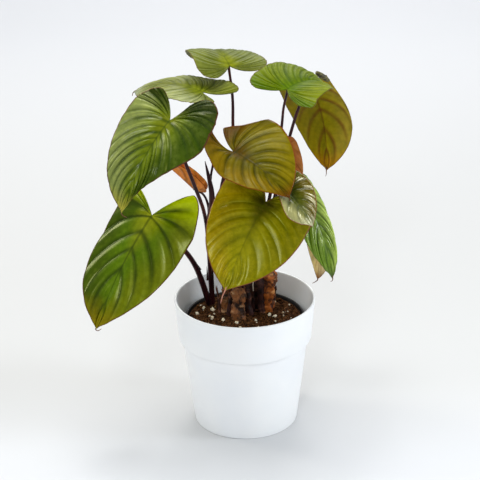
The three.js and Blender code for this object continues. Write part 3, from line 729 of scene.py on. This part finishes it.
def quilting(leaf, a, b, reach):
    """Height of the relief: ridges between sunken veins, and a sunken midrib."""
    turns = vein_turns(leaf, a)
    between = np.abs(2 * (turns % 1) - 1)
    ridge = 1 - between ** RIDGE_SHAPE
    middle = MIDWAY_DEPTH * leaf["midway"] * np.exp(-(between / MIDWAY_WIDTH) ** 2)
    strength = 1 + 0.3 * np.sin(turns * 1.7 + leaf["yaw"])
    relief = (RIDGE_HEIGHT * ridge - middle - RIDGE_SINK) * strength
    pleats = PLEAT_DEPTH * leaf["pleats"] * np.cos(2 * np.pi * turns * PLEATS_PER_VEIN)
    pleats = pleats * smooth((b - 0.12) / 0.4)
    rise = smooth(reach / RIPPLE_RISE) * (1 - 0.3 * smooth((b - 0.75) / 0.25))
    groove = np.exp(-(reach / GROOVE_WIDTH) ** 2) * smooth((a - FAN) / (0.3 - 0.3 * FAN))
    return (leaf["relief"] * relief - pleats) * rise - GROOVE_DEPTH * groove


def half_sheet(leaf, at, a, b, side):
    """Places of one half of the blade and their map values."""
    x, y, reach = flat_point(leaf, a, b, side)
    place, axes = at(y)
    out, lift, slope = bent(leaf, side, x, y)
    wave = WAVE_HEIGHT * np.sin(a * leaf["veins"] * 2.3 + side + leaf["length"]) * b ** 3
    relief = quilting(leaf, a, b, reach) + wave
    tilt = slope * smooth(reach / SEAM_REACH)
    sign = 1 if side == 0 else -1
    across = sign * (out - relief * np.sin(tilt))
    upward = lift + relief * np.cos(tilt)
    points = place + axes[..., :, 0] * across[..., None] + axes[..., :, 2] * upward[..., None]
    ahead = np.where(y < 0, y / leaf["lobes"][side], y / leaf["length"])
    values = np.stack([b, vein_turns(leaf, a), sign * np.maximum(b, 0.03), ahead], -1)
    return points.reshape(-1, 3), values.reshape(-1, 4)


def blade_sheet(leaf):
    """Both halves as one sheet: its places, their map values and its quads."""
    at = midrib(leaf)
    rows = ROWS_PER_VEIN * leaf["veins"]
    a, b = np.meshgrid(np.linspace(0, 1, rows + 1), np.linspace(0, 1, COLUMNS + 1), indexing="ij")
    halves = [half_sheet(leaf, at, a, b, side) for side in (0, 1)]
    corner = np.arange(rows)[:, None] * (COLUMNS + 1) + np.arange(COLUMNS)[None, :]
    p, q = corner.ravel(), corner.ravel() + COLUMNS + 1
    quads = np.stack([p, p + 1, q + 1, q], -1)
    places, maps = (np.vstack(parts) for parts in zip(*halves))
    return places, maps, np.vstack([quads, quads[:, ::-1] + a.size])


def merged(places):
    """For each place, the number of the first place that lies where it does."""
    _, first, same = np.unique(
        np.round(places, 3), axis=0, return_index=True, return_inverse=True)
    return first[same.ravel()]


def sheet_normals(places, faces):
    """Unit normals at the corners of the quads."""
    normals = np.zeros_like(places)
    corners = places[faces]
    flat = np.cross(corners[:, 2] - corners[:, 0], corners[:, 3] - corners[:, 1])
    for k in range(4):
        np.add.at(normals, faces[:, k], flat)
    lengths = np.linalg.norm(normals, axis=1, keepdims=True)
    return normals / np.maximum(lengths, 1e-12)


def blade_skins(places, maps, normals):
    """Places above and then below, where the midrib and veins stand out."""
    edge, turns, ahead = maps[:, 0:1], maps[:, 1:2], maps[:, 3:4]
    half = HALF_THICKNESS + (HALF_EDGE - HALF_THICKNESS) * smooth((edge - 0.9) / 0.1)
    rib = MIDRIB_RISE * np.exp(-(edge / 0.03) ** 2) * (1 - smooth((ahead - 0.5) / 0.5))
    rib = rib + VEIN_RISE * np.abs(np.cos(np.pi * turns)) ** 14 * smooth(edge / 0.1) * (1 - edge)
    return np.vstack([places + normals * half, places - normals * (half + rib)])


def blade_faces(quads, same):
    """Faces of both sides and the rim, and the sheet's corner for each of theirs."""
    count = len(same)
    faces, sources, seen = [], [], set()
    for quad in quads:
        kept = [int(same[c]) for c, before in zip(quad, np.roll(quad, 1)) if same[c] != same[before]]
        if len(kept) < 3 or len(set(kept)) < len(kept) or frozenset(kept) in seen:
            continue
        seen.add(frozenset(kept))
        where = {int(same[c]): int(c) for c in quad}
        faces += [kept, [k + count for k in reversed(kept)]]
        sources += [[where[k] for k in kept], [where[k] for k in reversed(kept)]]
    rim = {}
    for face in faces[::2]:
        for u, v in zip(face, face[1:] + face[:1]):
            if rim.pop((v, u), None) is None:
                rim[(u, v)] = True
    for u, v in rim:
        faces.append([v, u, u + count, v + count])
        sources.append([v, u, u, v])
    return faces, sources


def blade(name):
    leaf = LEAVES[name]
    places, maps, quads = blade_sheet(leaf)
    same = merged(places)
    skins = blade_skins(places, maps, sheet_normals(places, same[quads])[same])
    faces, sources = blade_faces(quads, same)
    used = sorted({c for face in faces for c in face})
    order = {c: i for i, c in enumerate(used)}
    numbered = [[order[c] for c in face] for face in faces]
    piece = add_piece(
        f"leaf_{name}", [(skins[used], numbered)], leaf_material(name), f"blade_{name}")
    assert len(piece.data.polygons) == len(faces), f"{name}: faces were dropped"
    corners = [c for source in sources for c in source]
    for layer, columns in (("veins", (0, 1)), ("zones", (2, 3))):
        values = maps[corners][:, columns].astype(np.float32)
        piece.data.uv_layers.new(name=layer).data.foreach_set("uv", values.ravel())


def swelling(distance, share, reach):
    return 1 + share * np.exp(-distance / reach)


def petiole(leaf_name, radii, points, base):
    """A petiole widens under the blade, and where it clasps a stump."""
    place, axes = midrib(LEAVES[leaf_name])(np.array(float(JUNCTION_INSET)))
    points = [*points, place - axes[:, 2] * (HALF_THICKNESS + PETIOLE_DROP)]
    if base:
        points.insert(0, np.array(STUMPS[base]["top"]) - (0, 0, STUMP_CUT))
    path, length = centripetal(points, PETIOLE_RINGS)
    run = np.linspace(0, 1, PETIOLE_RINGS)
    radius = (radii[0] + (radii[1] - radii[0]) * run) * swelling((1 - run) * length, *NECK_SWELL)
    if base:
        radius = radius * swelling(run * length, *FOOT_SWELL)
    return tube(path, radius, PETIOLE_SIDES)


def spike():
    wide, fine = SPIKE_RADII
    taper = 1 - np.linspace(0, 1, SPIKE_RINGS) ** 3
    return strand(SPIKE_POINTS, fine + (wide - fine) * taper, PETIOLE_SIDES)


def petiole_material():
    ground, streak, patch = COLOURS["petiole"]
    mat = Shades("petiole", 0.25, Specular_Tint=(1, 0.7, 0.7, 1))
    streaks = mat.noise(260, 4, 0.6, (1, 1, 0.06))
    patches = mat.noise(30, 2)
    colour = mat.mix(mat.rise(streaks, 0.35, 0.7), ground, streak)
    colour = mat.mix(mat.rise(patches, 0.5, 0.75), colour, patch)
    mat.bump(streaks, 0.3, 0.0006)
    return mat.finish(colour, mat.scaled(streaks, 0.2, 0.28))


def stem_group(name, material):
    base, petioles = STEM_GROUPS[name]
    shapes = [petiole(leaf_name, radii, points, base) for leaf_name, radii, points in petioles]
    if name == "left":
        shapes.append(spike())
    add_piece(f"petioles_{name}", shapes, material, f"stems_{name}")


def ligules(material):
    shapes = [strand([foot, end], np.linspace(radius, 0.15, 12), 12)
              for foot, end, radius in LIGULES]
    add_piece("ligules", shapes, material)


def drip_tips(name, leaf_names):
    ground, patch = COLOURS[name]
    mat = Shades(name, 0.3)
    material = mat.finish(mat.mix(mat.noise(300, 2), ground, patch), 0.5)
    shapes = []
    for leaf_name in leaf_names:
        leaf = LEAVES[leaf_name]
        inside, end = (midrib(leaf)(np.array(leaf["length"] * part))[0] for part in DRIP_START)
        steps = [end + np.array(step) for step in DRIP_TIPS[leaf_name]]
        shapes.append(strand([inside, end, *steps], np.linspace(*DRIP_RADII, 24), 10))
    add_piece(name, shapes, material)


def rolled_margin():
    """The rolled edge of the far leaf's lobe."""
    mat = Shades("rolled_margin", 0.4)
    stripes = mat.rise(mat.noise(260, 2, 0.5, (1, 1, 3)), 0.4, 0.6)
    material = mat.finish(mat.mix(stripes, *COLOURS["rolled_margin"]), 0.4)
    radii = ROLL_RADIUS * np.sin(np.linspace(0.35, 2.8, 30)) ** 0.5
    add_piece("rolled_margin", [strand(ROLLED_MARGIN, radii, 18)], material)


def bark_material(kind):
    low, middle, high = COLOURS[kind]
    mat = Shades(kind, 0.35)
    patches = mat.noise(130, 5, 0.65, (1, 1, 0.7))
    rings = mat.noise(90, 4, 0.6, (0.7, 0.7, 2))
    colour = mat.mix(mat.rise(patches, 0.37, 0.57), low, middle)
    colour = mat.mix(mat.rise(rings, 0.52, 0.72), colour, high)
    mat.bump(mat.plus(patches, rings), 0.6, 0.001)
    return mat.finish(colour, mat.scaled(patches, 0.3, 0.5))


def leaf_scars(height, turns, shift):
    """Raised scars with a groove above each, a little askew."""
    phase = (height[:, None] + SCAR_SKEW * np.sin(turns + shift)[None, :]) / SCAR_SPACING % 1
    raised = SCAR_HEIGHT * np.exp(-((phase - 0.5) / 0.16) ** 2)
    return raised - SCAR_GROOVE * np.exp(-((phase - 0.68) / 0.1) ** 2)


def stump(name):
    """A woody stem base, ringed by scars, with a rounded top."""
    shape = STUMPS[name]
    x, y = shape["foot"]
    points = [(x, y, SOIL_TOP - STEM_DEPTH), (x, y, SOIL_TOP + 4), shape["top"]]
    path, length = centripetal(points, STUMP_RINGS)
    run = np.linspace(0, 1, STUMP_RINGS)
    height = run * length
    turns = round_turns(STUMP_SIDES)
    radius = shape["radii"][0] + (shape["radii"][1] - shape["radii"][0]) * run
    knobs = KNOB_HEIGHT * wall_noise(height / 9 - x, turns, 0.9)
    rough = BARK_ROUGHNESS * wall_noise(height / 4 + x, turns, 2.2, 0.8, 2.1, 4)
    relief = leaf_scars(height, turns, x) + rough + knobs - BARK_SINK
    dome = np.sqrt(np.clip((length - height) / DOME_RUN, 0, 1))[:, None]
    radii = (radius[:, None] + relief) * (0.3 + 0.7 * dome)
    kind = f"bark_{shape['bark']}"
    wood = [tube(path, radii, STUMP_SIDES)]
    add_piece(f"stump_bark_{name}", wood, bark_material(kind), f"stump_{name}")


def husk(foot, middle, top, half_width):
    """A flattened, crumpled strip that narrows to a ragged top."""
    path, _ = centripetal([(*foot, SOIL_TOP - HUSK_DEPTH), middle, top], HUSK_RINGS)
    run = np.linspace(0, 1, HUSK_RINGS)[:, None]
    turns = round_turns(HUSK_SIDES)
    flat = 0.75 + 0.25 * np.cos(2 * turns + half_width)[None, :]
    crumple = wall_noise(run[:, 0] * 4 + foot[0], turns, 1.5, 0.9, 2.1, 3)
    radii = half_width * (1.15 - 0.3 * run) * flat * (1 + 0.5 * crumple)
    radii = np.maximum(radii * np.clip((1 - run) * 9, 0.12, 1), 0.1)
    return tube(path, radii, HUSK_SIDES)


def husks(material):
    add_piece("husks", [husk(*measures) for measures in HUSKS], material)


def fibre():
    material = Shades("fibre", 0.5).finish(FIBRE_COLOUR, 0.7)
    add_piece("root_fibre", [strand(FIBRE_POINTS, np.linspace(*FIBRE_RADII, 14), 8)], material)


def rounded(profile, radius, steps=5):
    """The profile with its inner corners rounded."""
    made = [profile[0]]
    for before, corner, after in zip(profile, profile[1:], profile[2:]):
        before, corner, after = (Vector(p) for p in (before, corner, after))
        back, on = before - corner, after - corner
        reach = min(radius, back.length * 0.45, on.length * 0.45)
        start, end = corner + back.normalized() * reach, corner + on.normalized() * reach
        for k in range(steps + 1):
            t = k / steps
            point = start * (1 - t) ** 2 + corner * 2 * t * (1 - t) + end * t ** 2
            made.append((point.x, point.y))
    return made + [profile[-1]]


def divided(profile, longest):
    """The profile with no step longer than asked."""
    made = [profile[0]]
    for (r0, z0), (r1, z1) in zip(profile, profile[1:]):
        pieces = max(1, math.ceil(math.hypot(r1 - r0, z1 - z0) / longest))
        for k in range(1, pieces + 1):
            made.append((r0 + (r1 - r0) * k / pieces, z0 + (z1 - z0) * k / pieces))
    return made


def lathe(profile, sides):
    """Solid of revolution; the profile starts and ends on the axis."""
    turns = round_turns(sides)
    rings = np.array(profile[1:-1])
    places = np.stack([rings[:, 0:1] * np.cos(turns), rings[:, 0:1] * np.sin(turns),
                       np.repeat(rings[:, 1:2], sides, 1)], -1).reshape(-1, 3)
    places = np.vstack([places, (0, 0, profile[0][1]), (0, 0, profile[-1][1])])
    return places, capped_rings(len(rings), sides)


def turned_pot(name, profile, edge, material, node):
    profile = divided(rounded(profile, edge), PROFILE_STEP)
    add_piece(name, [lathe(profile, POT_SIDES)], material, node)


def cover_pot_material():
    mat = Shades("cover_pot", 0.45)
    grain = mat.noise(1800, 3)
    clouds = mat.noise(18, 2)
    colour = mat.mix(mat.rise(clouds, 0.3, 0.7), *COLOURS["cover_pot"])
    mat.bump(grain, 0.12, 0.0002)
    return mat.finish(colour, mat.scaled(grain, 0.1, 0.42))


def cover_pot():
    collar_foot = POT_HEIGHT - COLLAR_HEIGHT
    profile = [
        (0, 0), (BODY_FOOT_RADIUS, 0), (BODY_TOP_RADIUS, collar_foot + COLLAR_STEP),
        (COLLAR_FOOT_RADIUS, collar_foot), (POT_RIM_RADIUS, POT_HEIGHT),
        (POT_RIM_RADIUS - POT_WALL, POT_HEIGHT),
        (COLLAR_FOOT_RADIUS - POT_WALL, collar_foot + COLLAR_STEP_INSIDE),
        (BODY_TOP_RADIUS - POT_WALL, collar_foot),
        (BODY_FOOT_RADIUS - POT_FOOT_WALL, POT_FLOOR), (0, POT_FLOOR),
    ]
    turned_pot("cover_pot", profile, POT_EDGE, cover_pot_material(), "outer_pot")


def nursery_pot_material():
    mat = Shades("nursery_pot", 0.4)
    dust = mat.noise(220, 5, 0.7)
    colour = mat.mix(mat.rise(dust, 0.52, 0.75), *COLOURS["nursery_pot"])
    mat.bump(dust, 0.2, 0.0004)
    return mat.finish(colour, mat.scaled(dust, 0.3, 0.35))


def nursery_pot():
    foot = POT_FLOOR + GAP
    rim_foot = GROW_RIM_TOP - GROW_RIM_HEIGHT
    body_top = GROW_RIM_RADIUS - GROW_RIM_WALL
    profile = [
        (0, foot), (GROW_FOOT_RADIUS, foot), (body_top, rim_foot), (GROW_RIM_RADIUS, rim_foot),
        (GROW_RIM_RADIUS, GROW_RIM_TOP), (body_top, GROW_RIM_TOP), (body_top - GROW_WALL, rim_foot),
        (GROW_FOOT_RADIUS - GROW_WALL, foot + GROW_FLOOR), (0, foot + GROW_FLOOR),
    ]
    turned_pot("nursery_pot", profile, GROW_EDGE, nursery_pot_material(), "grow_pot")


def soil_material():
    dark, middle, light = COLOURS["soil"]
    mat = Shades("soil", 0.1)
    clumps = mat.noise(420, 6, 0.7)
    grains = mat.spots(1100)
    colour = mat.mix(mat.rise(clumps, 0.4, 0.56), dark, middle)
    colour = mat.mix(mat.times(mat.rise(clumps, 0.56, 0.7), 0.85), colour, light)
    mat.bump(mat.math("SUBTRACT", clumps, grains), 0.7, 0.0012)
    return mat.finish(colour, 0.92)


def soil_height(x, y):
    """Lumpy, and a little higher in the middle."""
    reach = math.hypot(x, y) / SOIL_EDGE
    crown = SOIL_CROWN * (1 - reach * reach)
    lumps = noise.fractal(Vector((x / LUMP_WIDTH, y / LUMP_WIDTH, 0)), 0.9, 2.2, 5)
    return SOIL_TOP + crown + LUMP_HEIGHT * lumps * (1 - reach ** 6) - GAP


def soil_bed(material):
    bottom = POT_FLOOR + 2 * GAP + GROW_FLOOR
    rings = [(SOIL_FOOT_RADIUS, bottom), (SOIL_EDGE - 2 * GAP, GROW_RIM_TOP - GROW_RIM_HEIGHT)]
    rings += [(SOIL_EDGE * i / SOIL_RINGS, None) for i in range(SOIL_RINGS, 0, -1)]
    places = []
    for radius, z in rings:
        for turn in round_turns(SOIL_SIDES):
            x, y = radius * math.cos(turn), radius * math.sin(turn)
            places.append((x, y, soil_height(x, y) if z is None else z))
    places += [(0, 0, bottom), (0, 0, soil_height(0, 0))]
    shape = (places, capped_rings(len(rings), SOIL_SIDES))
    add_piece("soil_bed", [shape], material, "soil")


def ico_ball():
    ball = bmesh.new()
    bmesh.ops.create_icosphere(ball, subdivisions=2, radius=1)
    shape = [v.co.copy() for v in ball.verts], [[v.index for v in f.verts] for f in ball.faces]
    ball.free()
    return shape


PEBBLE_BALL = ico_ball()


def pebble(rng, x, y, size, lift, stretch, roughness):
    """A broken lump, whose centre is lifted by a share of its size."""
    corners, faces = PEBBLE_BALL
    centre = Vector((x, y, soil_height(x, y) + size * lift))
    offset = Vector([rng.random() * 90 for _ in range(3)])
    turned = Matrix.Rotation(rng.random() * 6.3, 3, "Z") @ Matrix.Rotation(rng.random() * 6.3, 3, "X")
    scale = Vector((1, 1 + rng.random() * stretch, 0.6 + 0.5 * rng.random()))
    places = []
    for corner in corners:
        push = 1 + roughness * noise.noise(corner * 1.7 + offset)
        point = turned @ Vector(c * s for c, s in zip(corner, scale)) * size * push
        places.append(tuple(point + centre))
    return np.array(places), faces


def clear_of_stems(x, y, margin):
    feet = [(*shape["foot"], shape["radii"][0]) for shape in STUMPS.values()]
    return all(math.hypot(x - fx, y - fy) > r + margin for fx, fy, r in [*feet, LEFT_BUNCH])


def anywhere(rng):
    """A random place in the square round the soil."""
    return [rng.uniform(-SOIL_EDGE, SOIL_EDGE) for _ in range(2)]


def crumbs(material):
    rng = random.Random(7)
    shapes = []
    while len(shapes) < CRUMB_COUNT:
        x, y = anywhere(rng)
        size = CRUMB_RADIUS + CRUMB_GROWTH * rng.random() ** CRUMB_RARITY
        if math.hypot(x, y) <= SOIL_EDGE - size - 0.5 and clear_of_stems(x, y, size):
            shapes.append(pebble(rng, x, y, size, 0.15, 0.8, 0.5))
    add_piece("soil_crumbs", shapes, material, smooth_faces=False)


def perlite_material():
    mat = Shades("perlite", 0.3)
    pits = mat.spots(900)
    stain = mat.noise(500, 3)
    colour = mat.mix(mat.rise(stain, 0.45, 0.7), *COLOURS["perlite"])
    mat.bump(pits, 0.5, 0.0006)
    return mat.finish(colour, 0.85)


def perlite():
    rng = random.Random(11)
    grains = list(PERLITE)
    while len(grains) < len(PERLITE) + SMALL_GRAINS:
        x, y = anywhere(rng)
        if math.hypot(x, y) < SOIL_EDGE - 3 and clear_of_stems(x, y, 2):
            grains.append((x, y, 0.4 + 0.7 * rng.random()))
    shapes = [pebble(rng, x, y, size, 0.35, 0.5, 0.7) for x, y, size in grains]
    add_piece("perlite", shapes, perlite_material())


def sweep_material():
    """Pale, with painted shade in the middle and painted light at the front and up the backdrop."""
    near, middle, far = COLOURS["sweep"]
    mat = Shades("sweep", 0.2)
    depth = mat.split(mat.place())[1]
    colour = mat.mix(mat.rise(depth, -0.15, 0.1), near, middle)
    return mat.finish(mat.mix(mat.rise(depth, 0.3, 1.7), colour, far), 0.9)


def stage():
    """A pale floor that sweeps up into the backdrop."""
    profile = [(SWEEP_NEAR, 0), (SWEEP_FAR, 0)]
    for t in np.linspace(0, math.pi / 2, 24)[1:]:
        profile.append((SWEEP_FAR + SWEEP_BEND * math.sin(t), SWEEP_BEND * (1 - math.cos(t))))
    profile.append((SWEEP_FAR + SWEEP_BEND, SWEEP_TOP))
    places = [(x, y, z) for y, z in profile for x in (-SWEEP_HALF_WIDTH, SWEEP_HALF_WIDTH)]
    faces = [[2 * i, 2 * i + 1, 2 * i + 3, 2 * i + 2] for i in range(len(profile) - 1)]
    add_mesh("studio_sweep", places, faces, sweep_material())


def area_light(name, place, width, watts, colour):
    light = bpy.data.lights.new(name, "AREA")
    light.shape = "DISK"
    light.size = width * MM
    light.energy = watts
    light.color = colour
    lamp = bpy.data.objects.new(name, light)
    lamp.location = Vector(place) * MM
    lamp.rotation_mode = "QUATERNION"
    lamp.rotation_quaternion = (Vector(LIGHT_TARGET) - Vector(place)).to_track_quat("-Z", "Y")
    bpy.context.scene.collection.objects.link(lamp)


def studio():
    for name, measures in LIGHTS.items():
        area_light(name, *measures)
    world = bpy.data.worlds.new("studio")
    world.use_nodes = True
    background = world.node_tree.nodes["Background"]
    background.inputs["Color"].default_value = (*WORLD_COLOUR, 1)
    background.inputs["Strength"].default_value = WORLD_STRENGTH
    bpy.context.scene.world = world
    bpy.context.scene.view_settings.view_transform = "Standard"


def camera():
    data = bpy.data.cameras.new("camera")
    data.lens = CAMERA_LENS
    data.sensor_width = SENSOR_WIDTH
    data.clip_end = 50
    made = bpy.data.objects.new("camera", data)
    made.matrix_world = (Matrix.Translation(Vector(CAMERA_PLACE) * MM)
                         @ Matrix.Rotation(math.radians(90 - CAMERA_TILT), 4, "X")
                         @ Matrix.Rotation(math.radians(CAMERA_ROLL), 4, "Z"))
    bpy.context.scene.collection.objects.link(made)
    bpy.context.scene.camera = made


camera()
studio()
stage()
cover_pot()
nursery_pot()
peat = soil_material()
soil_bed(peat)
crumbs(peat)
perlite()
for stump_name in STUMPS:
    stump(stump_name)
husks(bark_material("bark_sheath"))
fibre()
stalk = petiole_material()
for group_name in STEM_GROUPS:
    stem_group(group_name, stalk)
ligules(stalk)
drip_tips("drip_tips", [name for name in DRIP_TIPS if name != "front"])
drip_tips("pink_drip_tip", ["front"])
rolled_margin()
for leaf_name in LEAVES:
    blade(leaf_name)
